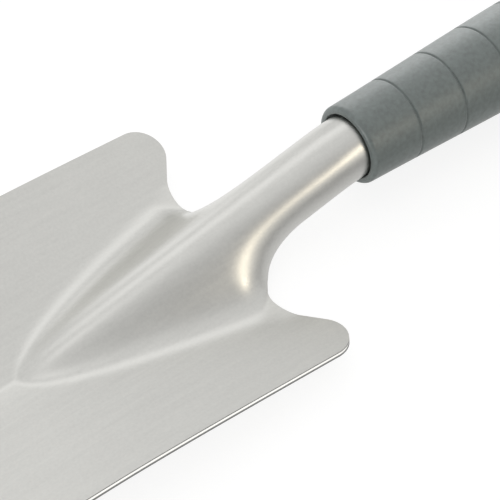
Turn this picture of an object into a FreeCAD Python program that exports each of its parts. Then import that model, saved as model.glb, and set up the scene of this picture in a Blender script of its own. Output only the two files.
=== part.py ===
import FreeCAD, Part
import os
from math import atan2, cos, exp, hypot, pi, radians, sin, sqrt, tan

# Hand trowel: a blade pressed and rolled from one sheet of steel, on a ringed plastic grip.
#
# Everything is drawn with the handle's axis along X, the grip's front face at x = 0, the
# blade towards -X and the scoop's open side up. At the end it is centred and lifted, so that
# the blade's lowest point touches z = 0.

# ---------------------------------------------------------------- driving dimensions, mm
# Sheet and blade outline, seen from above
sheet_thickness = 1.3
tip_reach = 178.0            # grip's front face to the blade's point
shoulder_half_width = 40.9   # half the width where the side line meets the rear line
shoulder_reach = 23.9        # grip's front face to that meeting point
shoulder_radius = 6.4        # rounding of each shoulder
shoulder_sweep = 34.5        # degrees that the rear edges lean forward, towards the notches
notch_radius = 2.4           # bend of the notch beside the neck
rear_radius = 4.0            # wider bend from the notch into the rear edge
side_taper = 1.8             # degrees that each long side closes towards the point
side_straight = 74.0         # length over which the long sides are straight
nose_radius = 18.0

# Form of the pressed blade
keel_depth = 15.8            # handle's axis to the underside of the keel, at the rib's nose
keel_rise = 0.013            # how far the keel rises per mm towards the grip
wing_slope = 0.281           # rise of each wing per mm of width
fold_softness = 8.5          # width over which the flat keel bends up into a wing
fold_spread = 0.336          # how far the folds move apart per mm, from the rib's nose back
fold_lag = 20.0              # distance over which they start to part
wing_camber_radius = 650.0
tip_lift = 6.5               # rise of the point above the keel's line
tip_lift_length = 80.0       # length of blade over which it rises
rib_reach = 97.8             # grip's front face to the rib's nose
rib_nose_radius = 3.6        # rib's plan curve at its nose, a parabola
rib_widening = 0.0031        # how much wider than the parabola the rib is, per mm behind its nose
rib_nose_softness = 5.0      # length over which the rib rises at its nose
rib_foot_power = 3.0         # how softly the rib's flanks run out into the wings

# Rolled neck and tang
neck_radius = 8.0            # outside
neck_fall = 0.226            # how far the neck falls per mm, from the grip to the blade
neck_bend_start = 5.5        # behind the grip's front face
neck_bend_length = 14.0      # length of the bend between the tang and the falling neck
roll_start = 43.3            # in front of the grip: where the flanks begin to curl under
roll_end = 18.6              # in front of the grip: where the neck is a full tube
roll_spread = 6.0            # width over which the curl fades out into a wing
strip_half_width = 19.0      # in plan, half the strip that is rolled into the tube
seam_gap = 1.0               # gap between the strip's two edges, under the neck
tang_length = 62.0           # part of the tube inside the grip

# Grip
grip_length = 112.0
grip_mouth_radius = 10.2
grip_swell_radius = 12.9
grip_swell_place = 78.0      # behind the grip's front face
grip_waist_radius = 12.1
grip_waist_place = 100.0
grip_end_radius = 12.4
lip_radius = 1.2
bore_edge_radius = 0.3       # rounding of the bore's front edge
ring_count = 6
ring_first = 14.7            # behind the grip's front face
ring_pitch = 14.1
ring_width = 0.7
ring_depth = 0.45
neck_gap = 0.4               # clearance round the neck, in the grip's bore

# Plug in the tang, its pin, and the cap
plug_start = 6.0             # behind the grip's front face
plug_cap_gap = 8.0           # room between the plug and the cap's spigot
plug_fit = 0.1
collar_radius = 9.3
collar_length = 4.0
collar_gap_behind_tang = 6.0
pin_radius = 2.0
pin_place = 44.0             # behind the grip's front face
pin_fit = 0.05
pin_end_gap = 0.4            # each end of the pin to the wall of the grip's bore
cap_spigot_length = 14.0
cap_fit = 0.1
cap_length = 20.0
cap_bulge_place = 11.0       # behind the grip's rear edge
cap_bulge_radius = 11.8
cap_end_radius = 8.5
cap_end_round = 3.6
cap_flat_width = 13.0        # across the two flats that the hanging hole passes through
cap_flat_length = 15.0
hanging_hole_radius = 3.5
hanging_hole_from_end = 8.5

# Spacing of the construction points on the pressed surface
fine_step = 1.5
coarse_step = 4.0
surface_margin = 2.0         # how far the surface runs past the blank's outline
nose_stretch = 8.0           # length with close points before and behind the rib's nose
roll_stretch = 6.0           # length with close points before and behind the roll

# ---------------------------------------------------------------- worked-out places
keel_level = sheet_thickness - keel_depth            # upper side of the keel, at the rib's nose
half_wrap = pi - 0.5 * seam_gap / neck_radius        # angle from the crown to the seam
bore_radius = neck_radius + neck_gap
plug_radius = neck_radius - sheet_thickness - plug_fit
plug_end = grip_length - cap_spigot_length - plug_cap_gap
collar_front = tang_length + collar_gap_behind_tang
overall_back = grip_length + cap_length
longest_across = 2.0 * (grip_swell_radius + cap_length)   # for tools that pass right through


# ---------------------------------------------------------------- the pressed surface
def smooth(t):
    """Ease from 0 to 1 as t goes from 0 to 1."""
    t = min(max(t, 0.0), 1.0)
    return t * t * (3.0 - 2.0 * t)


def neck_centre(x):
    """Height of the neck's centre line: level in the grip, then falling towards the blade."""
    ahead = max(neck_bend_start - x, 0.0)
    if ahead < neck_bend_length:
        return -neck_fall * ahead * ahead / (2.0 * neck_bend_length)
    return -neck_fall * (ahead - 0.5 * neck_bend_length)


def keel_height(x):
    """Height of the keel's upper side, a straight line but for the lifted point."""
    toe = max(-x - (tip_reach - tip_lift_length), 0.0) / tip_lift_length
    return keel_level + keel_rise * (x + rib_reach) + tip_lift * toe * toe


def rib_half_width(x):
    """Half the rib's width, which opens from its nose as a slightly widened parabola."""
    behind_nose = max(x + rib_reach, 0.0)
    return sqrt(2.0 * rib_nose_radius * behind_nose) * (1.0 + rib_widening * behind_nose)


def rib_height(x):
    """Height of the rib's crown over the keel: the neck's top line, with a blunt nose."""
    behind_nose = max(x + rib_reach, 0.0)
    crown = neck_centre(x) + neck_radius - keel_height(x)
    return crown * (1.0 - exp(-behind_nose / rib_nose_softness))


def fold_half_width(x):
    """Half the distance between the two folds where the wings begin to rise."""
    behind_nose = max(x + rib_reach, 0.0)
    return fold_spread * (behind_nose - fold_lag * (1.0 - exp(-behind_nose / fold_lag)))


def pressed_height(x, y):
    """Height of the blade's upper face: keel, wings and rib."""
    outside = abs(y) - fold_half_width(x)
    past_fold = 0.5 * (outside + hypot(outside, fold_softness))
    wing = wing_slope * (past_fold - 0.5 * fold_softness)
    camber = max(outside, 0.0) ** 2 / (2.0 * wing_camber_radius)
    height = keel_height(x) + wing + camber
    if abs(y) < rib_half_width(x):
        share = (1.0 - (y / rib_half_width(x)) ** 2) ** rib_foot_power
        height += (rib_height(x) - wing) * share
    return height


def upper_point(x, y):
    """Point of the sheet's outer face. Its y is the place in plan before the neck is rolled."""
    flat = FreeCAD.Vector(x, y, pressed_height(x, y))
    angle = half_wrap * y / strip_half_width
    rolled = FreeCAD.Vector(x, neck_radius * sin(angle), neck_centre(x) + neck_radius * cos(angle))
    along = smooth((x + roll_start) / (roll_start - roll_end))
    across = 1.0 - smooth((abs(y) - strip_half_width) / roll_spread)
    return flat + (rolled - flat) * (along * across)


def lower_point(x, y):
    """Point of the sheet's inner face, one thickness under the outer one."""
    reach = 0.05
    along = upper_point(x + reach, y) - upper_point(x - reach, y)
    across = upper_point(x, y + reach) - upper_point(x, y - reach)
    normal = along.cross(across)
    normal.normalize()
    return upper_point(x, y) - normal * sheet_thickness


def stations(marks, steps):
    """Places from mark to mark, each stretch with its own largest step."""
    places = [marks[0]]
    for start, stop, step in zip(marks, marks[1:], steps):
        count = max(int((stop - start) / step + 0.999), 1)
        places += [start + (stop - start) * i / count for i in range(1, count + 1)]
    return places


def spline_through(points, parameters):
    curve = Part.BSplineCurve()
    curve.interpolate(Points=points, Parameters=parameters)
    return curve


def surface_through(point_at, x_places, y_places):
    """Spline surface through point_at(x, y), whose own parameters are x and y in mm."""
    rows = []
    for x in x_places:
        row = spline_through([point_at(x, y) for y in y_places], y_places)
        rows.append(row.getPoles())
    columns = [spline_through(list(column), x_places) for column in zip(*rows)]
    poles = [list(pole_row) for pole_row in zip(*[column.getPoles() for column in columns])]
    surface = Part.BSplineSurface()
    surface.buildFromPolesMultsKnots(
        poles, columns[0].getMultiplicities(), row.getMultiplicities(),
        columns[0].getKnots(), row.getKnots(), False, False, 3, 3)
    return surface


# ---------------------------------------------------------------- the blank's outline
def point_2d(x, y):
    return FreeCAD.Base.Vector2d(x, y)


def arc_2d(centre, radius, start, stop):
    """Arc from the angle start to the angle stop, either way round, as plan curve and range."""
    circle = Part.Geom2d.Circle2d(point_2d(*centre), radius)
    if stop >= start:
        return Part.Geom2d.ArcOfCircle2d(circle, start, stop)
    arc = Part.Geom2d.ArcOfCircle2d(circle, stop, start)
    arc.reverse()
    return arc


def blank_half():
    """Plan curves of one side of the blank, from the tang's end to the blade's point."""
    taper = radians(side_taper)
    sweep = radians(shoulder_sweep)
    corner = (-shoulder_reach, shoulder_half_width)
    # Rear edge: passes through the shoulder's meeting point and leans forward to the notch.
    rear = (-sin(sweep), -cos(sweep))
    # Notch: a tight bend from the strip's edge, then a wider one that touches the rear edge.
    bend_y = strip_half_width + notch_radius
    touch_y = bend_y + rear_radius * sin(sweep)
    touch_x = corner[0] + rear[0] * (corner[1] - touch_y) / cos(sweep)
    bottom_x = touch_x - rear_radius * (1.0 - cos(sweep))
    notch_x = bottom_x + notch_radius
    # Shoulder: an arc that touches the rear edge and the side line.
    between = 0.5 * (pi / 2.0 - sweep - taper)
    setback = shoulder_radius / tan(between)
    rear_end = (corner[0] + rear[0] * setback, corner[1] + rear[1] * setback)
    round_centre = (rear_end[0] - shoulder_radius * cos(sweep),
                    rear_end[1] + shoulder_radius * sin(sweep))
    side_start = (corner[0] - setback * cos(taper), corner[1] - setback * sin(taper))
    side_end = (corner[0] - side_straight * cos(taper), corner[1] - side_straight * sin(taper))
    # Flank: an arc that touches the side line's end and the round nose from outside it.
    inward = (sin(taper), -cos(taper))
    nose_centre = (nose_radius - tip_reach, 0.0)
    gap = (side_end[0] - nose_centre[0], side_end[1] - nose_centre[1])
    lean = gap[0] * inward[0] + gap[1] * inward[1]
    flank_radius = (nose_radius ** 2 - gap[0] ** 2 - gap[1] ** 2) / (2.0 * (lean + nose_radius))
    flank_centre = (side_end[0] + flank_radius * inward[0], side_end[1] + flank_radius * inward[1])
    meeting = atan2(nose_centre[1] - flank_centre[1], nose_centre[0] - flank_centre[0])
    meeting = meeting % (2.0 * pi)
    line = Part.Geom2d.Line2dSegment
    return [
        line(point_2d(tang_length, strip_half_width), point_2d(notch_x, strip_half_width)),
        arc_2d((notch_x, bend_y), notch_radius, 1.5 * pi, pi),
        arc_2d((bottom_x + rear_radius, bend_y), rear_radius, pi, pi - sweep),
        line(point_2d(touch_x, touch_y), point_2d(*rear_end)),
        arc_2d(round_centre, shoulder_radius, -sweep, pi / 2.0 + taper),
        line(point_2d(*side_start), point_2d(*side_end)),
        arc_2d(flank_centre, flank_radius, pi / 2.0 + taper, meeting),
        arc_2d(nose_centre, nose_radius, meeting, pi),
    ]


def mirrored(curve):
    """The same plan curve on the other side of the centre line, run the other way."""
    copy = curve.copy()
    copy.mirror(point_2d(0.0, 0.0), point_2d(1.0, 0.0))
    copy.reverse()
    return copy


def make_blade():
    marks = [-tip_reach - surface_margin, -rib_reach - nose_stretch, -rib_reach + nose_stretch,
             -roll_start - roll_stretch, -roll_end + roll_stretch, tang_length]
    steps = [coarse_step, fine_step, 2.0 * fine_step, fine_step, 2.0 * coarse_step]
    x_places = stations(marks, steps)
    edge = shoulder_half_width + surface_margin
    middle = strip_half_width + roll_spread
    y_places = stations([-edge, -middle, middle, edge], [coarse_step, fine_step, coarse_step])
    upper = surface_through(upper_point, x_places, y_places)
    lower = surface_through(lower_point, x_places, y_places)
    side = blank_half()
    closing = Part.Geom2d.Line2dSegment(point_2d(tang_length, -strip_half_width),
                                        point_2d(tang_length, strip_half_width))
    outline = side + [mirrored(curve) for curve in reversed(side)] + [closing]
    upper_edges = [curve.toShape(upper) for curve in outline]
    lower_edges = [curve.toShape(lower) for curve in outline]
    faces = [Part.Face(Part.Wire(upper_edges)), Part.Face(Part.Wire(lower_edges))]
    faces += [Part.makeRuledSurface(a, b) for a, b in zip(upper_edges, lower_edges)]
    shell = Part.makeShell(faces)
    shell.sewShape()
    sheet = Part.makeSolid(shell)
    if sheet.Volume < 0.0:
        sheet.reverse()
    return sheet.cut(cross_pin(pin_radius + pin_fit, longest_across))


# ---------------------------------------------------------------- turned and moulded pieces
def cylinder(radius, length, start, axis=FreeCAD.Vector(1, 0, 0)):
    return Part.makeCylinder(radius, length, start, axis)


def along_axis(radius, front, back):
    """Cylinder on the handle's axis from x = front to x = back."""
    return cylinder(radius, back - front, FreeCAD.Vector(front, 0, 0))


def cross_pin(radius, length):
    """Cylinder across the tang, at the pin's place."""
    start = FreeCAD.Vector(pin_place, -0.5 * length, 0)
    return cylinder(radius, length, start, FreeCAD.Vector(0, 1, 0))


def turned(outline):
    """Solid of revolution about the handle's axis, from a closed outline of edges."""
    face = Part.Face(Part.Wire(outline))
    return face.revolve(FreeCAD.Vector(0, 0, 0), FreeCAD.Vector(1, 0, 0), 360)


def grip_skin():
    """The grip's outer profile as one spline, from behind the front lip to the rear edge."""
    mouth = FreeCAD.Vector(lip_radius, 0, grip_mouth_radius)
    swell = FreeCAD.Vector(grip_swell_place, 0, grip_swell_radius)
    waist = FreeCAD.Vector(grip_waist_place, 0, grip_waist_radius)
    end = FreeCAD.Vector(grip_length, 0, grip_end_radius)
    skin = Part.BSplineCurve()
    run = swell.x - mouth.x
    rise = swell.z - mouth.z
    flare = (end.z - waist.z) / (end.x - waist.x)
    level = FreeCAD.Vector(1, 0, 0)
    opening = FreeCAD.Vector(1, 0, rise / run)
    closing = FreeCAD.Vector(1, 0, 2.0 * flare)
    skin.interpolate(Points=[mouth, swell, waist, end], Tangents=[opening, level, level, closing],
                     TangentFlags=[True, True, True, True])
    return skin


def skin_radius(x):
    """Radius of the grip's outer profile at x."""
    skin = grip_skin()
    upright = Part.LineSegment(FreeCAD.Vector(x, 0, 0), FreeCAD.Vector(x, 0, 2.0 * grip_swell_radius))
    return skin.intersectCC(upright)[0].Z


def ring_groove(x):
    """Round-bottomed groove round the grip, centred at x."""
    half = 0.5 * ring_width
    round_radius = (half ** 2 + ring_depth ** 2) / (2.0 * ring_depth)
    centre = FreeCAD.Vector(x, 0, 0)
    ring_radius = skin_radius(x) - ring_depth + round_radius
    return Part.makeTorus(ring_radius, round_radius, centre, FreeCAD.Vector(1, 0, 0))


def quarter_bend(start, stop, centre, radius):
    """Quarter arc of the grip's front rim, in the plane of the profile."""
    halfway = (start + stop) * 0.5 - centre
    halfway.normalize()
    return Part.Arc(start, centre + halfway * radius, stop).toShape()


def make_grip():
    rim_inside = FreeCAD.Vector(bore_edge_radius, 0, bore_radius)
    face_inside = FreeCAD.Vector(0, 0, bore_radius + bore_edge_radius)
    face_outside = FreeCAD.Vector(0, 0, grip_mouth_radius - lip_radius)
    rim_outside = FreeCAD.Vector(lip_radius, 0, grip_mouth_radius)
    inner_bend = FreeCAD.Vector(rim_inside.x, 0, face_inside.z)
    outer_bend = FreeCAD.Vector(rim_outside.x, 0, face_outside.z)
    outer_back = FreeCAD.Vector(grip_length, 0, grip_end_radius)
    inner_back = FreeCAD.Vector(grip_length, 0, bore_radius)
    body = turned([
        quarter_bend(rim_inside, face_inside, inner_bend, bore_edge_radius),
        Part.makeLine(face_inside, face_outside),
        quarter_bend(face_outside, rim_outside, outer_bend, lip_radius),
        grip_skin().toShape(),
        Part.makeLine(outer_back, inner_back),
        Part.makeLine(inner_back, rim_inside),
    ])
    body = body.cut(along_axis(collar_radius, collar_front, collar_front + collar_length))
    for ring in range(ring_count):
        body = body.cut(ring_groove(ring_first + ring * ring_pitch))
    return body


def make_tang_plug():
    core = along_axis(plug_radius, plug_start, tang_length)
    rear = along_axis(bore_radius - plug_fit, tang_length, plug_end)
    collar = along_axis(collar_radius, collar_front, collar_front + collar_length)
    plug = core.fuse([rear, collar]).removeSplitter()
    return plug.cut(cross_pin(pin_radius + pin_fit, longest_across))


def make_retaining_pin():
    return cross_pin(pin_radius, 2.0 * (bore_radius - pin_end_gap))


def make_end_cap():
    cap_end = overall_back
    spigot = along_axis(bore_radius - cap_fit, grip_length - cap_spigot_length, grip_length)
    front_centre = FreeCAD.Vector(grip_length, 0, 0)
    front_edge = FreeCAD.Vector(grip_length, 0, grip_end_radius)
    bulge = FreeCAD.Vector(grip_length + cap_bulge_place, 0, cap_bulge_radius)
    end_edge = FreeCAD.Vector(cap_end, 0, cap_end_radius)
    end_centre = FreeCAD.Vector(cap_end, 0, 0)
    dome = turned([
        Part.makeLine(front_centre, front_edge),
        Part.Arc(front_edge, bulge, end_edge).toShape(),
        Part.makeLine(end_edge, end_centre),
        Part.makeLine(end_centre, front_centre),
    ])
    end_rim = [edge for edge in dome.Edges if edge.Closed and edge.CenterOfMass.x > bulge.x]
    dome = dome.makeFillet(cap_end_round, end_rim)
    for side in (1, -1):
        flat = Part.makeBox(cap_flat_length, cap_length, longest_across)
        flat_y = 0.5 * side * cap_flat_width + 0.5 * (side - 1) * cap_length
        flat.translate(FreeCAD.Vector(cap_end - cap_flat_length, flat_y, -0.5 * longest_across))
        dome = dome.cut(flat)
    hole_start = FreeCAD.Vector(cap_end - hanging_hole_from_end, -0.5 * longest_across, 0)
    hole = cylinder(hanging_hole_radius, longest_across, hole_start, FreeCAD.Vector(0, 1, 0))
    return dome.fuse(spigot).removeSplitter().cut(hole)


# ---------------------------------------------------------------- the trowel
os.makedirs("parts", exist_ok=True)
pieces = {
    "blade": make_blade(),
    "grip": make_grip(),
    "tang_plug": make_tang_plug(),
    "retaining_pin": make_retaining_pin(),
    "end_cap": make_end_cap(),
}
blade_box = pieces["blade"].optimalBoundingBox(False)
at_rest = FreeCAD.Vector(0.5 * (tip_reach - overall_back), 0, -blade_box.ZMin)
for name, shape in pieces.items():
    shape.translate(at_rest)
    shape.exportStep("parts/" + name + ".step")
    print(name, shape.isValid(), len(shape.Solids), round(shape.Volume, 1),
          shape.optimalBoundingBox(False))
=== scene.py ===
"""Looks of the hand trowel: a satin steel blade and a ringed grey-green grip, on a pale floor."""

from math import cos, exp, hypot, pi, radians, sin, sqrt, tan

import bpy
from bpy.props import FloatProperty, FloatVectorProperty, IntProperty, PointerProperty
from bpy.types import Operator, Panel, PropertyGroup
from mathutils import Matrix, Vector


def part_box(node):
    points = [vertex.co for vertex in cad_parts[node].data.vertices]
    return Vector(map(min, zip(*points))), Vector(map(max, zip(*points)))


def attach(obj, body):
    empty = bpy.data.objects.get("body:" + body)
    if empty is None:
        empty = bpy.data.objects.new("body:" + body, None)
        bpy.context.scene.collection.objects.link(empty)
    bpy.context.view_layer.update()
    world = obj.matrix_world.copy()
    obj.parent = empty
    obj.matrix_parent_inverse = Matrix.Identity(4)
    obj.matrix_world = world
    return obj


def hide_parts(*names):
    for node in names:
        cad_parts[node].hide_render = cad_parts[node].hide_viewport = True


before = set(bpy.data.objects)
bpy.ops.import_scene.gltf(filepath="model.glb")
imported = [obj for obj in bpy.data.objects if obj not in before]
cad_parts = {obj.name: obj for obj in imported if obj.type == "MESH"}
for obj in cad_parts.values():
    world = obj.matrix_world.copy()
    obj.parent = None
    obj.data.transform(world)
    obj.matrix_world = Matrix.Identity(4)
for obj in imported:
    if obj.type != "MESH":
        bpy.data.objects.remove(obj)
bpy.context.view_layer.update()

bl_info = {
    "name": "Hand trowel",
    "version": (1, 0, 0),
    "blender": (4, 5, 0),
    "location": "3D View > Sidebar > Trowel",
    "description": "Builds a hand trowel's blade, grip, fittings and stage round its fixed frame",
    "category": "Add Mesh",
}

# ---------------------------------------------------------------- places read from the frame
BLADE_LOW, BLADE_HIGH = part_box("blade")
GRIP_LOW, GRIP_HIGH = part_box("grip")
CAP_LOW, CAP_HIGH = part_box("end_cap")
MM = 0.001
FRONT = GRIP_LOW.x                        # the grip's front face
AXIS_Z = 0.5 * (CAP_LOW.z + CAP_HIGH.z)   # height of the handle's axis
TIP_LENGTH = FRONT - BLADE_LOW.x
TANG_LENGTH = BLADE_HIGH.x - FRONT
GRIP_LENGTH = GRIP_HIGH.x - FRONT
SWELL_RADIUS = 0.5 * (GRIP_HIGH.z - GRIP_LOW.z)

# ---------------------------------------------------------------- the blade's press form, metres
SHOULDER_HALF_WIDTH = 40.9 * MM
SHOULDER_REACH = 23.9 * MM
SHOULDER_RADIUS = 6.4 * MM
SHOULDER_SWEEP = radians(34.5)
NOTCH_RADIUS = 2.4 * MM
REAR_RADIUS = 4.0 * MM
SIDE_TAPER = radians(1.8)
SIDE_STRAIGHT = 74.0 * MM
NOSE_RADIUS = 18.0 * MM
KEEL_DEPTH = 15.8 * MM                    # under the handle's axis, at the rib's nose
KEEL_RISE = 0.013                         # per metre towards the grip
WING_SLOPE = 0.281
FOLD_SOFTNESS = 8.5 * MM
FOLD_SPREAD = 0.336
FOLD_LAG = 20.0 * MM
WING_CAMBER_RADIUS = 650.0 * MM
TIP_LIFT = 6.5 * MM
TIP_LIFT_LENGTH = 80.0 * MM
RIB_REACH = 97.8 * MM
RIB_NOSE_SETBACK = 4.3 * MM               # the rib's round nose starts this far behind the fold
RIB_NOSE_RADIUS = 5.5 * MM
RIB_NOSE_SOFTNESS = 4.4 * MM
RIB_FOOT_POWER = 3.0
NECK_RADIUS = 8.0 * MM
NECK_FALL = 0.226
NECK_BEND_START = 5.5 * MM
NECK_BEND_LENGTH = 14.0 * MM
ROLL_START = 43.3 * MM
ROLL_END = 18.6 * MM
ROLL_SPREAD = 6.0 * MM
STRIP_HALF_WIDTH = 19.0 * MM
SEAM_GAP = 1.0 * MM
HALF_WRAP = pi - 0.5 * SEAM_GAP / NECK_RADIUS

# ---------------------------------------------------------------- how finely the blade is laid
STRIP_COLUMNS = 48                        # faces across the middle strip and the tang
WING_COLUMNS = 44                         # faces across each wing
TANG_ROWS = 90                            # faces along the neck and the tang
POINT_CROWDING = 1.6                      # above 1, rows lie closer together at the point
LINE_END_HALVINGS = 60                    # steps that find where a wing's line ends
BLANK_WELD = 0.004 * MM                   # corners nearer to each other than this are joined
EDGE_CUTS = 4                             # cut the wall of the sheet's edge into five levels
# The cut edge's two extra materials: painted shade on its corners, a painted highlight along its
# middle.
EDGE_SHADE, EDGE_HIGHLIGHT = 1, 2                   # places of their materials in the blade's list
BLADE_CREASE = radians(40.0)              # edges sharper than this aren't smoothed

# ---------------------------------------------------------------- the grip, metres
GRIP_MOUTH_RADIUS = 10.2 * MM
GRIP_BORE_RADIUS = 8.4 * MM
GRIP_SWELL_PLACE = 78.0 * MM
GRIP_WAIST_RADIUS = 12.1 * MM
GRIP_WAIST_PLACE = 100.0 * MM
GRIP_END_RADIUS = 12.4 * MM
LIP_RADIUS = 1.2 * MM
LIP_STEPS = 8
BORE_START = 6.0 * MM                     # place in the bore where the profile starts
BORE_EDGE_RADIUS = 0.3 * MM
BORE_EDGE_STEPS = 4
SKIN_STEP = 1.5 * MM                      # between the profile's points along the skin
SKIN_END_GAP = 0.3 * MM                   # from the last of them to the rear edge, at least
RING_FIRST = 14.7 * MM
RING_PITCH = 14.1 * MM
RING_EDGE = 0.18 * MM                     # over which a groove's side bends into the skin
RING_CLEARANCE = 0.2 * MM                 # from a groove's edge to a point of the skin, at least
# From a groove's middle to one side: share of its half width, of its edge and of its depth.
RING_SHAPE = ((0.5, 0.0, 0.93), (1.0, 0.0, 0.5), (1.0, 0.4, 0.16), (1.0, 1.0, 0.03),
              (1.0, 2.5, 0.0))
SPUN_WELD = 0.002 * MM
GRIP_CREASE = radians(50.0)

# ---------------------------------------------------------------- finish
# Each pattern has its scale per metre along X, Y and Z, and its detail.
GRAIN = ((1500.0, 1500.0, 1500.0), 3.0)
STREAKS = ((45.0, 900.0, 900.0), 4.0)     # drawn out along the blade
GRAIN_SHARE = 0.55
STREAK_SHARE = 0.45
STEEL_MOTTLE = 0.13                       # how far grain and streaks change the steel's colour
SMOOTHEST, ROUGHEST = -0.08, 0.10         # and how far they change its roughness
MOTTLE = ((900.0, 900.0, 900.0), 3.0)
GRIP_MOTTLE = 0.5                         # how far the dusty mottle changes the plastic's colour
SKIN = ((1300.0, 1300.0, 1300.0), 2.0)
GRAIN_RELIEF = (0.05, 0.02 * MM)          # strength and height
SKIN_RELIEF = (0.25, 0.03 * MM)
CORE_COLOUR = (0.03, 0.03, 0.03)          # of the plug inside the tang
CORE_ROUGHNESS = 0.5

# ---------------------------------------------------------------- floor and sky, metres
FLOOR_SIZE = 6.0
FLOOR_GAP = 0.00002                       # from the floor up to the blade's lowest point
# Seen only in the steel, the floor glows as a painted reflection: painted shade on its near side,
# painted light past the blade's near edge.
NEAR_SIDE, FAR_SIDE = -0.06, 0.03         # in Y, between which the mirrored floor brightens
OPEN_FLOOR = (-0.0405, -0.0435)           # in Y, where the floor past the near edge starts
OPEN_REAR = (0.004, -0.002)               # in X, where it ends towards the grip
SKY_FACING = (0.25, 0.93, 0.27)           # towards the sky's bright side
SKY_DIM_AT, SKY_BRIGHT_AT = -0.7, 0.25    # cosines to it, between which the sky brightens

# ---------------------------------------------------------------- lamps
WHITE = (1.0, 1.0, 1.0)
PALE_CREAM = (1.0, 0.97, 0.9)
CREAM = (1.0, 0.9, 0.72)
# Name, azimuth (0 is +X, 90 is +Y) and elevation in degrees, distance and size in metres, the
# setting with its power, colour, and whether it lights the handle only.
LAMPS = (
    ("window", 72.0, 51.5, 1.3, (1.2, 0.55), "window_power", WHITE, False),
    ("panel", 86.0, 14.0, 1.3, (0.22, 0.35), "panel_power", WHITE, False),
    ("neck_strip", -73.0, 25.0, 0.8, (0.18, 0.13), "strip_power", CREAM, False),
    ("notch_spot", -61.0, 31.0, 0.8, (0.08, 0.10), "spot_power", CREAM, False),
    ("low_fill", -68.0, 13.0, 0.8, (0.45, 0.28), "low_fill_power", PALE_CREAM, False),
    ("nose_lamp", 160.0, 72.0, 1.3, (0.3, 0.3), "nose_power", WHITE, False),
    ("grip_strip", 42.0, 14.0, 0.19, (0.18, 0.11), "grip_strip_power", WHITE, True),
    ("lip_lamp", -178.0, 6.0, 0.24, (0.05, 0.025), "lip_power", WHITE, True),
)

# ---------------------------------------------------------------- the photograph's camera
VIEW_AZIMUTH = radians(-39.8)
VIEW_ELEVATION = radians(51.2)
VIEW_ROLL = radians(2.1)
VIEW_DISTANCE = 0.315
VIEW_LENS = 93.7                          # millimetres, as is the sensor's width
VIEW_SENSOR = 36.0
VIEW_CLIP = (0.01, 20.0)
VIEW_AIM_FROM_RING = Vector((-41.95, 1.73, -20.51)) * MM    # from the first ring's centre


# ---------------------------------------------------------------- sizes and colours to change
class TrowelBladeSettings(PropertyGroup):
    sheet_thickness: FloatProperty(
        name="Sheet thickness", description="Thickness of the steel sheet",
        default=1.3 * MM, unit="LENGTH", precision=5)
    rows: IntProperty(
        name="Rows", description="Rows of faces along the blade", default=260)
    steel_colour: FloatVectorProperty(
        name="Steel colour", description="Colour of the satin steel",
        default=(0.658, 0.655, 0.628), size=3, subtype="COLOR")
    # Painted shade: the dark colour painted on the corners of the sheet's cut edge.
    edge_shade_colour: FloatVectorProperty(
        name="Corner colour", description="Colour of the dull corners of the cut edge",
        default=(0.16, 0.16, 0.155), size=3, subtype="COLOR")
    # Painted highlight: the bright colour painted along the middle of the sheet's cut edge.
    edge_highlight_colour: FloatVectorProperty(
        name="Edge colour", description="Colour of the bright middle of the cut edge",
        default=(0.82, 0.81, 0.775), size=3, subtype="COLOR")
    steel_roughness: FloatProperty(
        name="Steel roughness", description="Roughness of the satin finish",
        default=0.32, subtype="FACTOR")


class TrowelGripSettings(PropertyGroup):
    ring_count: IntProperty(
        name="Rings", description="Number of grooves round the grip", default=6)
    ring_width: FloatProperty(
        name="Ring width", description="Width of each groove",
        default=0.5 * MM, unit="LENGTH", precision=5)
    ring_depth: FloatProperty(
        name="Ring depth", description="Depth of each groove",
        default=0.36 * MM, unit="LENGTH", precision=5)
    segments: IntProperty(
        name="Segments", description="Faces round the grip", default=160)
    colour: FloatVectorProperty(
        name="Grip colour", description="Colour of the moulded grip",
        default=(0.095, 0.120, 0.1135), size=3, subtype="COLOR")
    roughness: FloatProperty(
        name="Grip roughness", description="Roughness of the moulded skin",
        default=0.45, subtype="FACTOR")


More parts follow.
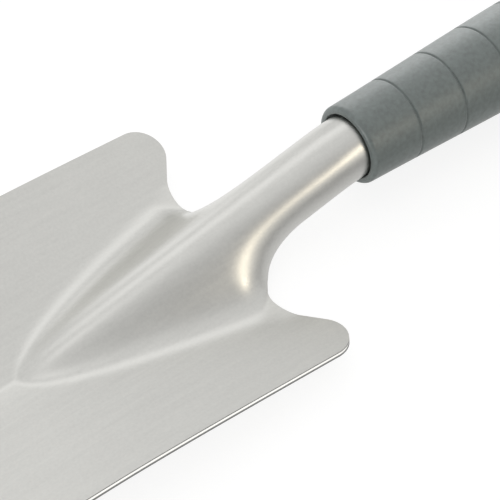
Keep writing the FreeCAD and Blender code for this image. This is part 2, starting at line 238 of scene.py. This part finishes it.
class TrowelStageSettings(PropertyGroup):
    floor_colour: FloatVectorProperty(
        name="Floor colour", description="Colour of the floor",
        default=(0.92, 0.92, 0.92), size=3, subtype="COLOR")
    shadow_share: FloatProperty(
        name="Shadow", description="How much of the shadow the white floor shows",
        default=0.3, subtype="FACTOR")
    floor_glow: FloatProperty(
        name="Floor glow", description="Strength that brings the seen floor up to white",
        default=0.81)
    # Painted shade: dim glow of the floor's near side, seen only in the steel.
    near_floor_shade_glow: FloatProperty(
        name="Near floor glow",
        description="The same for the floor's near side, seen in the steel", default=0.22)
    far_floor_glow: FloatProperty(
        name="Far floor glow", description="The same for the floor's far side", default=0.90)
    # Painted light: bright glow of the floor past the blade's near edge, seen only in the steel.
    open_floor_light_glow: FloatProperty(
        name="Open floor glow",
        description="The same for the floor in front of the blade's edge", default=1.15)
    dim_sky: FloatProperty(
        name="Dim side", description="Strength of the sky on the camera's side", default=0.474)
    bright_sky: FloatProperty(
        name="Bright side", description="Strength of the sky behind the trowel", default=0.85)
    window_power: FloatProperty(
        name="Window", description="Power of the wide soft lamp", default=0.79, unit="POWER")
    panel_power: FloatProperty(
        name="Panel", description="Power of the upright lamp beside the blade", default=0.16,
        unit="POWER")
    strip_power: FloatProperty(
        name="Neck strip", description="Power of the lamp that draws the line along the neck",
        default=0.26, unit="POWER")
    spot_power: FloatProperty(
        name="Notch spot", description="Power of the lamp seen as the spot beside the notch",
        default=0.24, unit="POWER")
    low_fill_power: FloatProperty(
        name="Low fill", description="Power of the dim lamp under the neck strip", default=0.15,
        unit="POWER")
    nose_power: FloatProperty(
        name="Nose lamp", description="Power of the high lamp over the rib's nose", default=0.18,
        unit="POWER")
    lip_power: FloatProperty(
        name="Lip lamp", description="Power of the small lamp that lights the grip's front lip",
        default=0.09, unit="POWER")
    grip_strip_power: FloatProperty(
        name="Grip strip", description="Power of the small lamp that lights the grip's far side",
        default=0.095, unit="POWER")


# ---------------------------------------------------------------- helpers
def deselect():
    """Leaves edit mode and selects nothing."""
    if bpy.context.object and bpy.context.object.mode != "OBJECT":
        bpy.ops.object.mode_set(mode="OBJECT")
    bpy.ops.object.select_all(action="DESELECT")


def pick(piece):
    """Makes this piece the only selected and the active one."""
    deselect()
    piece.select_set(True)
    bpy.context.view_layer.objects.active = piece


def smooth_shaded(piece, angle):
    """Smooths the piece's shading, but for edges sharper than this angle."""
    pick(piece)
    bpy.ops.object.shade_smooth_by_angle(angle=angle)


def ease(t):
    """Eases from 0 to 1 as t goes from 0 to 1."""
    t = min(max(t, 0.0), 1.0)
    return t * t * (3.0 - 2.0 * t)


# ---------------------------------------------------------------- the pressed surface
def neck_centre(x):
    """Height of the neck's centre line: level in the grip, then falling towards the blade."""
    ahead = max(NECK_BEND_START - x, 0.0)
    if ahead < NECK_BEND_LENGTH:
        return -NECK_FALL * ahead * ahead / (2.0 * NECK_BEND_LENGTH)
    return -NECK_FALL * (ahead - 0.5 * NECK_BEND_LENGTH)


def pressed_height(x, y, keel_level):
    """Height of the blade's upper face over the handle's axis: keel, wings and rib."""
    toe = max(-x - (TIP_LENGTH - TIP_LIFT_LENGTH), 0.0) / TIP_LIFT_LENGTH
    behind_nose = max(x + RIB_REACH, 0.0)
    fold = FOLD_SPREAD * (behind_nose - FOLD_LAG * (1.0 - exp(-behind_nose / FOLD_LAG)))
    outside = abs(y) - fold
    past_fold = 0.5 * (outside + hypot(outside, FOLD_SOFTNESS))
    wing = WING_SLOPE * (past_fold - 0.5 * FOLD_SOFTNESS)
    camber = max(outside, 0.0) ** 2 / (2.0 * WING_CAMBER_RADIUS)
    keel = keel_level + KEEL_RISE * (x + RIB_REACH) + TIP_LIFT * toe * toe
    height = keel + wing + camber
    rib_run = max(behind_nose - RIB_NOSE_SETBACK, 0.0)
    rib_half_width = sqrt(2.0 * RIB_NOSE_RADIUS * rib_run)
    if abs(y) < rib_half_width:
        share = (1.0 - (y / rib_half_width) ** 2) ** RIB_FOOT_POWER
        crown = neck_centre(x) + NECK_RADIUS - keel
        rib = crown * (1.0 - exp(-rib_run / RIB_NOSE_SOFTNESS))
        height += (rib - wing) * share
    return height


def upper_point(x, y, keel_level):
    """Where the press puts the flat blank's point (x, y)."""
    flat = Vector((x, y, pressed_height(x, y, keel_level)))
    angle = HALF_WRAP * y / STRIP_HALF_WIDTH
    rolled = Vector((x, NECK_RADIUS * sin(angle), neck_centre(x) + NECK_RADIUS * cos(angle)))
    along = ease((x + ROLL_START) / (ROLL_START - ROLL_END))
    across = 1.0 - ease((abs(y) - STRIP_HALF_WIDTH) / ROLL_SPREAD)
    return flat.lerp(rolled, along * across)


# ---------------------------------------------------------------- the blank's outline
def blank_geometry():
    """The arcs and lines of one side of the blank, as in the flat sheet."""
    corner = Vector((-SHOULDER_REACH, SHOULDER_HALF_WIDTH))
    rear = Vector((-sin(SHOULDER_SWEEP), -cos(SHOULDER_SWEEP)))
    bend_y = STRIP_HALF_WIDTH + NOTCH_RADIUS
    touch_y = bend_y + REAR_RADIUS * sin(SHOULDER_SWEEP)
    touch_x = corner.x + rear.x * (corner.y - touch_y) / cos(SHOULDER_SWEEP)
    bottom_x = touch_x - REAR_RADIUS * (1.0 - cos(SHOULDER_SWEEP))
    between = 0.5 * (pi / 2.0 - SHOULDER_SWEEP - SIDE_TAPER)
    setback = SHOULDER_RADIUS / tan(between)
    rear_end = corner + rear * setback
    round_centre = rear_end + SHOULDER_RADIUS * Vector((-cos(SHOULDER_SWEEP), sin(SHOULDER_SWEEP)))
    side = Vector((-cos(SIDE_TAPER), -sin(SIDE_TAPER)))
    side_start = corner + side * setback
    side_end = corner + side * SIDE_STRAIGHT
    inward = Vector((sin(SIDE_TAPER), -cos(SIDE_TAPER)))
    nose_centre = Vector((NOSE_RADIUS - TIP_LENGTH, 0.0))
    gap = side_end - nose_centre
    lean = gap.dot(inward)
    flank_radius = (NOSE_RADIUS ** 2 - gap.length_squared) / (2.0 * (lean + NOSE_RADIUS))
    flank_centre = side_end + flank_radius * inward
    toward_nose = (nose_centre - flank_centre).normalized()
    flank_end = nose_centre + toward_nose * NOSE_RADIUS
    return {
        "tight_centre": Vector((bottom_x + NOTCH_RADIUS, bend_y)),
        "wide_centre": Vector((bottom_x + REAR_RADIUS, bend_y)),
        "touch": Vector((touch_x, touch_y)), "rear_end": rear_end,
        "round_centre": round_centre, "side_start": side_start, "side_end": side_end,
        "flank_centre": flank_centre, "flank_radius": flank_radius, "flank_end": flank_end,
        "nose_centre": nose_centre,
    }


def side_half_width(x, blank):
    """Half the blank's width at x, by its long side, its flank and its nose."""
    if x <= blank["flank_end"].x:
        return sqrt(max(NOSE_RADIUS ** 2 - (x - blank["nose_centre"].x) ** 2, 0.0))
    if x <= blank["side_end"].x:
        centre = blank["flank_centre"]
        return centre.y + sqrt(blank["flank_radius"] ** 2 - (x - centre.x) ** 2)
    return blank["side_start"].y + (x - blank["side_start"].x) * tan(SIDE_TAPER)


def rear_place(y, blank):
    """x of the blank's rear edge at y, from the notch to the shoulder's rounding."""
    if y <= blank["touch"].y:
        tight = y <= blank["tight_centre"].y
        centre = blank["tight_centre"] if tight else blank["wide_centre"]
        radius = NOTCH_RADIUS if tight else REAR_RADIUS
        return centre.x - sqrt(max(radius ** 2 - (y - centre.y) ** 2, 0.0))
    if y <= blank["rear_end"].y:
        return blank["touch"].x + (y - blank["touch"].y) * tan(SHOULDER_SWEEP)
    centre = blank["round_centre"]
    return centre.x + sqrt(max(SHOULDER_RADIUS ** 2 - (y - centre.y) ** 2, 0.0))


# ---------------------------------------------------------------- the blade
def wing_line_end(share, blank):
    """x where the wing's line at this share of its width meets the rear edge."""
    top = blank["round_centre"].y + SHOULDER_RADIUS
    low, high = blank["side_end"].x, blank["round_centre"].x + SHOULDER_RADIUS
    for _ in range(LINE_END_HALVINGS):
        middle = 0.5 * (low + high)
        y = STRIP_HALF_WIDTH + share * (side_half_width(middle, blank) - STRIP_HALF_WIDTH)
        inside = y <= top and middle < rear_place(y, blank)
        low, high = (middle, high) if inside else (low, middle)
    return low


def strip_width_at(x, blank):
    """Half the width of the middle strip, which narrows with the blade towards its point."""
    full = side_half_width(blank["tight_centre"].x, blank)
    return STRIP_HALF_WIDTH * min(side_half_width(x, blank) / full, 1.0)


def lengthwise(step):
    """Share of the way from the point to the neck, with shorter steps at the round point."""
    return step ** POINT_CROWDING


def laid_net(name, rows, columns, place):
    """A flat grid whose corners are laid at place(step along, step across), both from 0 to 1."""
    deselect()
    bpy.ops.mesh.primitive_grid_add(x_subdivisions=rows, y_subdivisions=columns, size=2.0)
    net = bpy.context.object
    net.name = name
    for vertex in net.data.vertices:
        x, y = place(0.5 * (vertex.co.x + 1.0), 0.5 * (vertex.co.y + 1.0))
        vertex.co = (x, y, 0.0)
    return net


def lay_blank(settings):
    """The flat blank: its middle strip, its two wings and the tang, joined into one net."""
    blank = blank_geometry()
    tip, neck_start = -TIP_LENGTH, blank["tight_centre"].x
    shares = [sin(0.5 * pi * column / WING_COLUMNS) for column in range(WING_COLUMNS + 1)]
    ends = [neck_start] + [wing_line_end(share, blank) for share in shares[1:]]

    def strip(along, across):
        x = tip + (neck_start - tip) * lengthwise(along)
        return x, (2.0 * across - 1.0) * strip_width_at(x, blank)

    def tang(along, across):
        return (neck_start + (TANG_LENGTH - neck_start) * along,
                (2.0 * across - 1.0) * STRIP_HALF_WIDTH)

    def wing(along, across):
        column = round(across * WING_COLUMNS)
        x = tip + (ends[column] - tip) * lengthwise(along)
        inner = strip_width_at(x, blank)
        return x, inner + shares[column] * (side_half_width(x, blank) - inner)

    def other_wing(along, across):
        x, y = wing(along, 1.0 - across)
        return x, -y

    nets = [laid_net("strip", settings.rows, STRIP_COLUMNS, strip),
            laid_net("tang", TANG_ROWS, STRIP_COLUMNS, tang),
            laid_net("wing", settings.rows, WING_COLUMNS, wing),
            laid_net("other_wing", settings.rows, WING_COLUMNS, other_wing)]
    deselect()
    for net in nets:
        net.select_set(True)
    bpy.context.view_layer.objects.active = nets[0]
    bpy.ops.object.join()
    piece = bpy.context.object
    bpy.ops.object.mode_set(mode="EDIT")
    bpy.ops.mesh.select_all(action="SELECT")
    bpy.ops.mesh.remove_doubles(threshold=BLANK_WELD)
    bpy.ops.object.mode_set(mode="OBJECT")
    return piece


def press(piece, keel_level):
    """Moves each corner of the flat blank to its place on the pressed and rolled surface."""
    place = Vector((FRONT, 0.0, AXIS_Z))
    for vertex in piece.data.vertices:
        vertex.co = upper_point(vertex.co.x, vertex.co.y, keel_level) + place


def press_blank(settings):
    """The blank, pressed and given the sheet's thickness, with painted shade and a painted
    highlight on its cut edge.
    """
    piece = lay_blank(settings)
    piece.name = "blade_pressing"
    # The second and third materials are the painted shade and the painted highlight of the cut
    # edge.
    for name, colour in (("satin_steel", settings.steel_colour),
                         ("corner_steel", settings.edge_shade_colour),
                         ("cut_edge_steel", settings.edge_highlight_colour)):
        piece.data.materials.append(satin_steel(name, colour, settings))
    press(piece, settings.sheet_thickness - KEEL_DEPTH)
    wall = piece.modifiers.new("Sheet", "SOLIDIFY")
    wall.thickness = settings.sheet_thickness
    wall.offset = -1.0
    # The whole wall of the edge gets the painted shade first.
    wall.material_offset_rim = EDGE_SHADE
    bpy.ops.object.modifier_apply(modifier="Sheet")
    paint_edge_shade_and_highlight(piece)
    smooth_shaded(piece, BLADE_CREASE)
    return piece


def paint_edge_shade_and_highlight(piece):
    """Cuts the wall of the sheet's edge into five levels; the second and third get the painted
    highlight, the others keep the painted shade.
    """
    mesh = piece.data
    sheet_corners = len(mesh.vertices)
    uses = {}
    for face in mesh.polygons:
        for key in face.edge_keys:
            uses.setdefault(key, []).append(face.material_index)
    pick(piece)
    bpy.ops.object.mode_set(mode="EDIT")
    bpy.ops.mesh.select_mode(type="EDGE")
    bpy.ops.mesh.select_all(action="DESELECT")
    bpy.ops.object.mode_set(mode="OBJECT")
    for edge in mesh.edges:
        edge.select = uses[edge.key] == [EDGE_SHADE, EDGE_SHADE]
    bpy.ops.object.mode_set(mode="EDIT")
    bpy.ops.mesh.subdivide_edgering(number_cuts=EDGE_CUTS, interpolation="LINEAR")
    bpy.ops.mesh.select_mode(type="VERT")
    bpy.ops.object.mode_set(mode="OBJECT")
    underside = range(sheet_corners // 2, sheet_corners)
    wall = [face for face in piece.data.polygons if face.material_index == EDGE_SHADE]
    lowest = {corner for face in wall if any(v in underside for v in face.vertices)
              for corner in face.vertices}
    for face in wall:
        if min(face.vertices) >= sheet_corners and not lowest.intersection(face.vertices):
            face.material_index = EDGE_HIGHLIGHT


class TROWEL_OT_blade(Operator):
    """Build the pressed steel blade with its rib, rolled neck and tang"""
    bl_idname = "trowel.blade"
    bl_label = "Blade"

    def execute(self, context):
        settings = context.scene.trowel_blade
        piece = press_blank(settings)
        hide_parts("blade")
        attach(piece, "root")
        return {"FINISHED"}


# ---------------------------------------------------------------- nodes that materials share
def new_material(name):
    """A new material, its node tree and its shader."""
    material = bpy.data.materials.new(name)
    material.use_nodes = True
    tree = material.node_tree
    return material, tree, tree.nodes["Principled BSDF"]


def object_place(tree):
    """The place of the shaded point in the piece's own coordinates."""
    return tree.nodes.new("ShaderNodeTexCoord").outputs["Object"]


def worked_out(tree, operation, *values):
    """The result of this operation on values that are numbers or other nodes' outputs."""
    node = tree.nodes.new("ShaderNodeMath")
    node.operation = operation
    for socket, value in zip(node.inputs, values):
        if isinstance(value, float):
            socket.default_value = value
        else:
            tree.links.new(value, socket)
    return node.outputs["Value"]


def mapped(tree, value, span, low, high, curve="LINEAR"):
    """A value that runs from low to high while the given one runs through this span."""
    node = tree.nodes.new("ShaderNodeMapRange")
    node.interpolation_type = curve
    node.inputs["From Min"].default_value, node.inputs["From Max"].default_value = span
    node.inputs["To Min"].default_value = low
    node.inputs["To Max"].default_value = high
    tree.links.new(value, node.inputs["Value"])
    return node.outputs["Result"]


def stretched_noise(tree, place, scale, detail):
    """Noise over the piece's own coordinates, with its own scale along X, Y and Z."""
    stretch = tree.nodes.new("ShaderNodeMapping")
    stretch.inputs["Scale"].default_value = scale
    tree.links.new(place, stretch.inputs["Vector"])
    noise = tree.nodes.new("ShaderNodeTexNoise")
    noise.inputs["Scale"].default_value = 1.0
    noise.inputs["Detail"].default_value = detail
    tree.links.new(stretch.outputs["Vector"], noise.inputs["Vector"])
    return noise.outputs["Fac"]


def shaded(colour, share):
    """The colour with this share of its brightness."""
    return [share * channel for channel in colour]


def mixed(tree, factor, first, second):
    """A colour that goes from the first to the second with the factor."""
    mix = tree.nodes.new("ShaderNodeMix")
    mix.data_type = "RGBA"
    mix.inputs["A"].default_value = (*first, 1.0)
    mix.inputs["B"].default_value = (*second, 1.0)
    tree.links.new(factor, mix.inputs["Factor"])
    return mix.outputs["Result"]


def tint(tree, shader, colour, spread, factor):
    """Gives the shader a colour that varies by this spread on both sides with the factor."""
    varied = mixed(tree, factor, shaded(colour, 1.0 - spread), shaded(colour, 1.0 + spread))
    tree.links.new(varied, shader.inputs["Base Color"])


def add_relief(tree, shader, height, strength, distance):
    """Gives the shader a fine relief that follows this height."""
    bump = tree.nodes.new("ShaderNodeBump")
    bump.inputs["Strength"].default_value = strength
    bump.inputs["Distance"].default_value = distance
    tree.links.new(height, bump.inputs["Height"])
    tree.links.new(bump.outputs["Normal"], shader.inputs["Normal"])


# ---------------------------------------------------------------- steel and plastic
def satin_steel(name, colour, settings):
    """Satin steel with a fine grain, and faint polishing streaks along the blade."""
    material, tree, shader = new_material(name)
    shader.inputs["Metallic"].default_value = 1.0
    place = object_place(tree)
    grain = stretched_noise(tree, place, *GRAIN)
    streaks = stretched_noise(tree, place, *STREAKS)
    both = worked_out(tree, "MULTIPLY_ADD", streaks, STREAK_SHARE,
                      worked_out(tree, "MULTIPLY", grain, GRAIN_SHARE))
    tint(tree, shader, colour, STEEL_MOTTLE, both)
    roughness = mapped(tree, both, (0.0, 1.0), settings.steel_roughness + SMOOTHEST,
                       settings.steel_roughness + ROUGHEST)
    tree.links.new(roughness, shader.inputs["Roughness"])
    add_relief(tree, shader, grain, *GRAIN_RELIEF)
    return material


def moulded_plastic(name, colour, roughness):
    """Moulded plastic with a faint orange-peel skin and a dusty, mottled colour."""
    material, tree, shader = new_material(name)
    place = object_place(tree)
    tint(tree, shader, colour, GRIP_MOTTLE, stretched_noise(tree, place, *MOTTLE))
    add_relief(tree, shader, stretched_noise(tree, place, *SKIN), *SKIN_RELIEF)
    shader.inputs["Roughness"].default_value = roughness
    shader.inputs["Specular IOR Level"].default_value = 1.0
    shader.inputs["IOR"].default_value = 1.6
    shader.inputs["Sheen Weight"].default_value = 0.3
    shader.inputs["Sheen Roughness"].default_value = 0.3
    return material


# ---------------------------------------------------------------- the grip
def skin_radius(x):
    """Radius of the grip's skin, x behind its front face, on the same curves as its profile."""
    knots = [
        (LIP_RADIUS, GRIP_MOUTH_RADIUS,
         (SWELL_RADIUS - GRIP_MOUTH_RADIUS) / (GRIP_SWELL_PLACE - LIP_RADIUS)),
        (GRIP_SWELL_PLACE, SWELL_RADIUS, 0.0),
        (GRIP_WAIST_PLACE, GRIP_WAIST_RADIUS, 0.0),
        (GRIP_LENGTH, GRIP_END_RADIUS,
         2.0 * (GRIP_END_RADIUS - GRIP_WAIST_RADIUS) / (GRIP_LENGTH - GRIP_WAIST_PLACE)),
    ]
    for (x0, r0, s0), (x1, r1, s1) in zip(knots, knots[1:]):
        if x <= x1 or x1 == GRIP_LENGTH:
            run = x1 - x0
            t = min(max((x - x0) / run, 0.0), 1.0)
            return ((2 * t ** 3 - 3 * t ** 2 + 1) * r0 + (t ** 3 - 2 * t ** 2 + t) * run * s0
                    + (3 * t ** 2 - 2 * t ** 3) * r1 + (t ** 3 - t ** 2) * run * s1)


def quarter_turn(steps):
    """Sine and cosine of even turns from 0 to 90 degrees."""
    turns = [0.5 * pi * step / steps for step in range(steps + 1)]
    return [(sin(turn), cos(turn)) for turn in turns]


def grip_profile(settings):
    """Points (x behind the front face, radius) from the bore's mouth over the skin to the rear."""
    rim = [(BORE_START, GRIP_BORE_RADIUS)]
    rim += [(BORE_EDGE_RADIUS * (1.0 - sine), GRIP_BORE_RADIUS + BORE_EDGE_RADIUS * (1.0 - cosine))
            for sine, cosine in quarter_turn(BORE_EDGE_STEPS)]
    rim += [(LIP_RADIUS * (1.0 - cosine), GRIP_MOUTH_RADIUS - LIP_RADIUS * (1.0 - sine))
            for sine, cosine in quarter_turn(LIP_STEPS)]
    rings = [RING_FIRST + i * RING_PITCH for i in range(settings.ring_count)]
    half = 0.5 * settings.ring_width
    skin = []
    x = LIP_RADIUS + SKIN_STEP
    while x < GRIP_LENGTH - SKIN_END_GAP:
        if all(abs(x - ring) >= half + RING_EDGE + RING_CLEARANCE for ring in rings):
            skin.append((x, skin_radius(x)))
        x += SKIN_STEP
    for ring in rings:
        skin.append((ring, skin_radius(ring) - settings.ring_depth))
        for half_share, edge_share, depth_share in RING_SHAPE:
            offset = half_share * half + edge_share * RING_EDGE
            for place in (ring - offset, ring + offset):
                skin.append((place, skin_radius(place) - depth_share * settings.ring_depth))
    rear = [(GRIP_LENGTH, skin_radius(GRIP_LENGTH)), (GRIP_LENGTH, GRIP_BORE_RADIUS)]
    return rim + sorted(skin) + rear


def spun(name, profile, segments):
    """A piece turned about the handle's axis: a profile drawn point by point, then spun."""
    deselect()
    x, radius = profile[0]
    bpy.ops.mesh.primitive_plane_add(size=MM, location=(FRONT + x, 0.0, AXIS_Z + radius))
    piece = bpy.context.object
    piece.name = name
    bpy.ops.object.transform_apply(location=True, rotation=True, scale=True)
    bpy.ops.object.mode_set(mode="EDIT")
    bpy.ops.mesh.select_all(action="SELECT")
    bpy.ops.mesh.merge(type="CENTER")
    for (x0, r0), (x1, r1) in zip(profile, profile[1:]):
        bpy.ops.mesh.extrude_region_move(TRANSFORM_OT_translate={"value": (x1 - x0, 0.0, r1 - r0)})
    bpy.ops.mesh.select_all(action="SELECT")
    bpy.ops.mesh.spin(steps=segments, angle=2.0 * pi, center=(0.0, 0.0, AXIS_Z),
                      axis=(1.0, 0.0, 0.0))
    bpy.ops.mesh.select_all(action="SELECT")
    bpy.ops.mesh.remove_doubles(threshold=SPUN_WELD)
    bpy.ops.mesh.normals_make_consistent(inside=False)
    bpy.ops.object.mode_set(mode="OBJECT")
    return piece


class TROWEL_OT_grip(Operator):
    """Build the moulded grip with its rounded lip and ring grooves"""
    bl_idname = "trowel.grip"
    bl_label = "Grip"

    def execute(self, context):
        settings = context.scene.trowel_grip
        profile = grip_profile(settings)
        profile.append(profile[0])
        piece = spun("grip_sleeve", profile, settings.segments)
        smooth_shaded(piece, GRIP_CREASE)
        piece.data.materials.append(
            moulded_plastic("grip_plastic", settings.colour, settings.roughness))
        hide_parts("grip")
        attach(piece, "root")
        return {"FINISHED"}


class TROWEL_OT_fittings(Operator):
    """Give the end cap, tang plug and pin their finish"""
    bl_idname = "trowel.fittings"
    bl_label = "Cap, plug and pin"

    def execute(self, context):
        blade, grip = context.scene.trowel_blade, context.scene.trowel_grip
        for node, slot, material in (
            ("end_cap", "cap_plastic",
             moulded_plastic("cap_plastic", grip.colour, grip.roughness)),
            ("tang_plug", "core_plastic",
             moulded_plastic("core_plastic", CORE_COLOUR, CORE_ROUGHNESS)),
            ("retaining_pin", "pin_steel",
             satin_steel("pin_steel", blade.steel_colour, blade)),
        ):
            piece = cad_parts[node]
            piece.data.materials.clear()
            piece.data.materials.append(material)
        return {"FINISHED"}


# ---------------------------------------------------------------- floor, lamps and camera
def floor_paint(settings):
    """Matt pale floor with the trowel's shadow, white to the camera; the steel sees it as a
    painted reflection, with painted shade on its near side and painted light past the blade's
    edge.
    """
    material, tree, shader = new_material("floor_paint")
    shader.inputs["Roughness"].default_value = 0.9
    shader.inputs["Specular IOR Level"].default_value = 0.0
    path = tree.nodes.new("ShaderNodeLightPath")
    camera = path.outputs["Is Camera Ray"]
    mirror = worked_out(tree, "MAXIMUM", path.outputs["Is Glossy Ray"],
                        path.outputs["Is Transmission Ray"])
    seen = worked_out(tree, "MAXIMUM", camera, mirror)
    dimmed = shaded(settings.floor_colour, settings.shadow_share)
    tree.links.new(mixed(tree, seen, settings.floor_colour, dimmed), shader.inputs["Base Color"])
    place = tree.nodes.new("ShaderNodeSeparateXYZ")
    tree.links.new(object_place(tree), place.inputs["Vector"])
    # Painted reflection, for the steel only: the floor's near side glows dimly as painted shade,
    # and the floor past the near edge glows brightly as painted light.
    sides = mapped(tree, place.outputs["Y"], (NEAR_SIDE, FAR_SIDE), settings.near_floor_shade_glow,
                   settings.far_floor_glow, "SMOOTHSTEP")
    past_edge = mapped(tree, place.outputs["Y"], OPEN_FLOOR, 0.0, settings.open_floor_light_glow)
    beside_blade = mapped(tree, place.outputs["X"], OPEN_REAR, 0.0, 1.0)
    open_floor = worked_out(tree, "MULTIPLY", past_edge, beside_blade)
    mirrored = worked_out(tree, "MULTIPLY", mirror,
                          worked_out(tree, "MAXIMUM", sides, open_floor))
    glow = worked_out(tree, "MULTIPLY_ADD", camera, settings.floor_glow, mirrored)
    shader.inputs["Emission Color"].default_value = (1.0, 1.0, 1.0, 1.0)
    tree.links.new(glow, shader.inputs["Emission Strength"])
    return material


def light_world(scene, settings):
    """Pale sky that shades gently from the camera's side to the far side, and is seen as white."""
    world = bpy.data.worlds.new("soft_sky")
    scene.world = world
    world.use_nodes = True
    tree = world.node_tree
    sky = tree.nodes["Background"]
    sky.inputs["Color"].default_value = (1.0, 1.0, 1.0, 1.0)
    direction = tree.nodes.new("ShaderNodeTexCoord")
    facing = tree.nodes.new("ShaderNodeVectorMath")
    facing.operation = "DOT_PRODUCT"
    facing.inputs[1].default_value = SKY_FACING
    tree.links.new(direction.outputs["Generated"], facing.inputs[0])
    shade = mapped(tree, facing.outputs["Value"], (SKY_DIM_AT, SKY_BRIGHT_AT), settings.dim_sky,
                   settings.bright_sky, "SMOOTHSTEP")
    path = tree.nodes.new("ShaderNodeLightPath")
    seen = worked_out(tree, "MAXIMUM", path.outputs["Is Camera Ray"],
                      path.outputs["Is Transmission Ray"])
    strength = tree.nodes.new("ShaderNodeMix")
    tree.links.new(seen, strength.inputs["Factor"])
    tree.links.new(shade, strength.inputs["A"])
    strength.inputs["B"].default_value = 1.0
    tree.links.new(strength.outputs["Result"], sky.inputs["Strength"])


def soft_lamp(name, azimuth, elevation, distance, size, power, colour):
    """Soft rectangular lamp, aimed at the neck from this side (0 is +X, 90 is +Y)."""
    turn, rise = radians(azimuth), radians(elevation)
    toward = Vector((cos(turn) * cos(rise), sin(turn) * cos(rise), sin(rise)))
    aim = Vector((FRONT, 0.0, AXIS_Z))
    bpy.ops.object.light_add(type="AREA", location=aim + distance * toward)
    lamp = bpy.context.object
    lamp.name = name
    lamp.data.shape = "RECTANGLE"
    lamp.data.size, lamp.data.size_y = size
    lamp.data.energy = power
    lamp.data.color = colour
    lamp.visible_camera = False
    lamp.rotation_euler = (-toward).to_track_quat("-Z", "Y").to_euler()
    return lamp


def keep_off_blade(lamp):
    """Lets this lamp light the handle only, so that the blade's notch doesn't mirror it."""
    lit = bpy.data.collections.new("lit_by_" + lamp.name)
    for name in ("grip_sleeve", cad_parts["end_cap"].name):
        lit.objects.link(bpy.data.objects[name])
    lamp.light_linking.receiver_collection = lit


def aim_camera(scene):
    """Puts the camera where the photograph was taken from."""
    bpy.ops.object.camera_add()
    camera = bpy.context.object
    back = Vector((sin(VIEW_AZIMUTH) * cos(VIEW_ELEVATION),
                   -cos(VIEW_AZIMUTH) * cos(VIEW_ELEVATION), sin(VIEW_ELEVATION)))
    right = Vector((cos(VIEW_AZIMUTH), sin(VIEW_AZIMUTH), 0.0))
    up = back.cross(right)
    turned_right = cos(VIEW_ROLL) * right + sin(VIEW_ROLL) * up
    turned_up = back.cross(turned_right)
    facing = Matrix((turned_right, turned_up, back)).transposed()
    aim = Vector((FRONT + RING_FIRST, 0.0, AXIS_Z)) + VIEW_AIM_FROM_RING
    camera.matrix_world = Matrix.Translation(aim + VIEW_DISTANCE * back) @ facing.to_4x4()
    camera.data.lens = VIEW_LENS
    camera.data.sensor_width = VIEW_SENSOR
    camera.data.clip_start, camera.data.clip_end = VIEW_CLIP
    scene.camera = camera


class TROWEL_OT_stage(Operator):
    """Set up the pale floor, the soft lamps and the camera"""
    bl_idname = "trowel.stage"
    bl_label = "Stage"

    def execute(self, context):
        settings = context.scene.trowel_stage
        deselect()
        bpy.ops.mesh.primitive_plane_add(size=FLOOR_SIZE, location=(0.0, 0.0, -FLOOR_GAP))
        floor = context.object
        floor.name = "floor"
        floor.data.materials.append(floor_paint(settings))
        light_world(context.scene, settings)
        for name, azimuth, elevation, distance, size, power, colour, handle_only in LAMPS:
            lamp = soft_lamp(name, azimuth, elevation, distance, size,
                             getattr(settings, power), colour)
            if handle_only:
                keep_off_blade(lamp)
        aim_camera(context.scene)
        context.scene.view_settings.view_transform = "Standard"
        return {"FINISHED"}


# ---------------------------------------------------------------- the add-on
class VIEW3D_PT_trowel(Panel):
    """Lists the trowel's pieces, sizes and colours"""
    bl_idname = "VIEW3D_PT_trowel"
    bl_label = "Hand trowel"
    bl_space_type = "VIEW_3D"
    bl_region_type = "UI"
    bl_category = "Trowel"

    def draw(self, context):
        layout = self.layout
        for group, operators in (
            (context.scene.trowel_blade, ("trowel.blade",)),
            (context.scene.trowel_grip, ("trowel.grip", "trowel.fittings")),
            (context.scene.trowel_stage, ("trowel.stage",)),
        ):
            box = layout.box()
            for name in group.bl_rna.properties.keys():
                if name not in ("name", "rna_type"):
                    box.prop(group, name)
            for operator in operators:
                box.operator(operator)


CLASSES = (TrowelBladeSettings, TrowelGripSettings, TrowelStageSettings, TROWEL_OT_blade,
           TROWEL_OT_grip, TROWEL_OT_fittings, TROWEL_OT_stage, VIEW3D_PT_trowel)


def register():
    for cls in CLASSES:
        bpy.utils.register_class(cls)
    bpy.types.Scene.trowel_blade = PointerProperty(type=TrowelBladeSettings)
    bpy.types.Scene.trowel_grip = PointerProperty(type=TrowelGripSettings)
    bpy.types.Scene.trowel_stage = PointerProperty(type=TrowelStageSettings)


def unregister():
    del bpy.types.Scene.trowel_blade
    del bpy.types.Scene.trowel_grip
    del bpy.types.Scene.trowel_stage
    for cls in reversed(CLASSES):
        bpy.utils.unregister_class(cls)


def main():
    register()
    bpy.ops.trowel.blade()
    bpy.ops.trowel.grip()
    bpy.ops.trowel.fittings()
    bpy.ops.trowel.stage()


if __name__ == "__main__":
    main()
